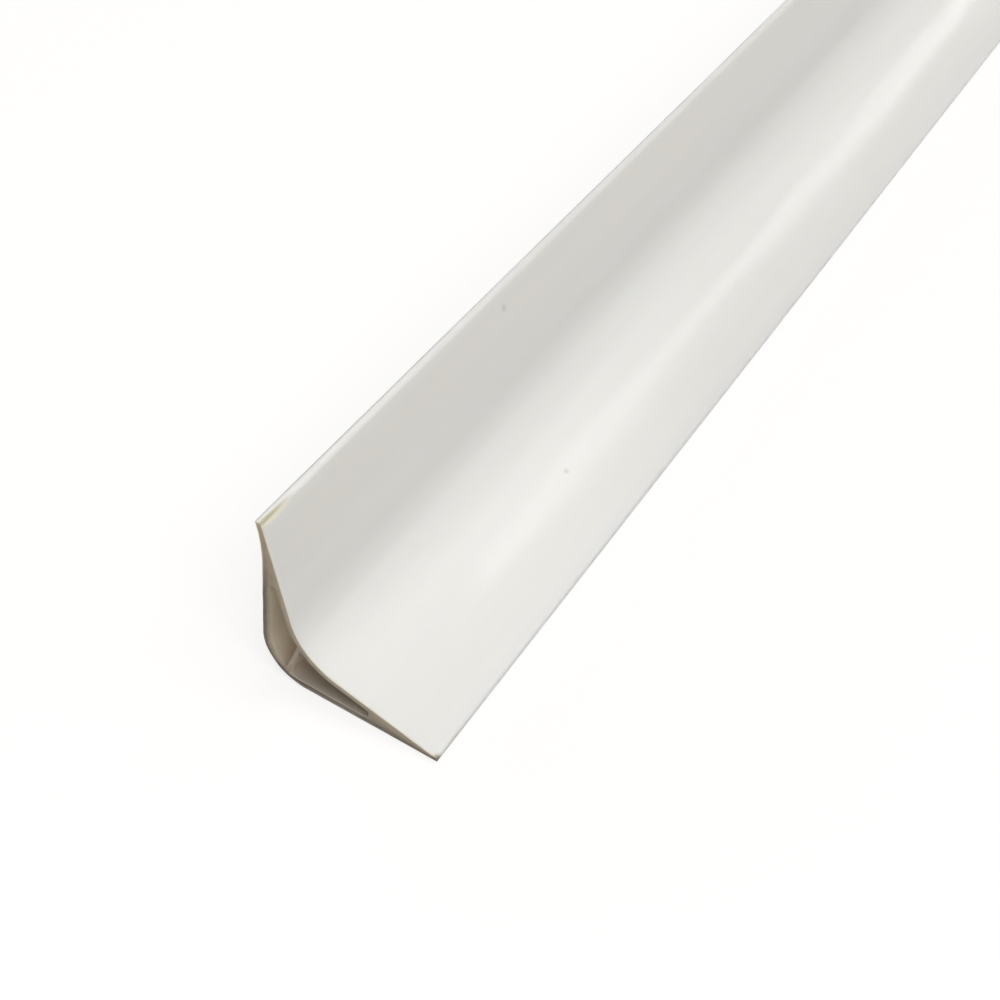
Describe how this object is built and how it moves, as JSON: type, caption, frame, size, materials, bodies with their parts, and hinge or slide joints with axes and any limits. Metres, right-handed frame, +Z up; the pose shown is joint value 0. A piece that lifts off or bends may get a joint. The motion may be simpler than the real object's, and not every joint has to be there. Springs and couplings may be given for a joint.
{
  "type": "internal corner trim",
  "caption": "Long hollow plastic trim with a coved face, square back legs and thin lips, for covering the internal corner where wall panels meet.",
  "frame": {"origin": "on the floor, midway along the trim and midway across it", "axes": "+Y along the length, +Z up the upright leg, +X out along the lying leg, away from the upright one"},
  "size_m": [0.0311, 2.4, 0.03],
  "materials": {
    "white_pvc": "smooth extruded gloss white"
  },
  "bodies": {
    "root": {"corner_trim": "white_pvc"}
  },
  "joints": []
}
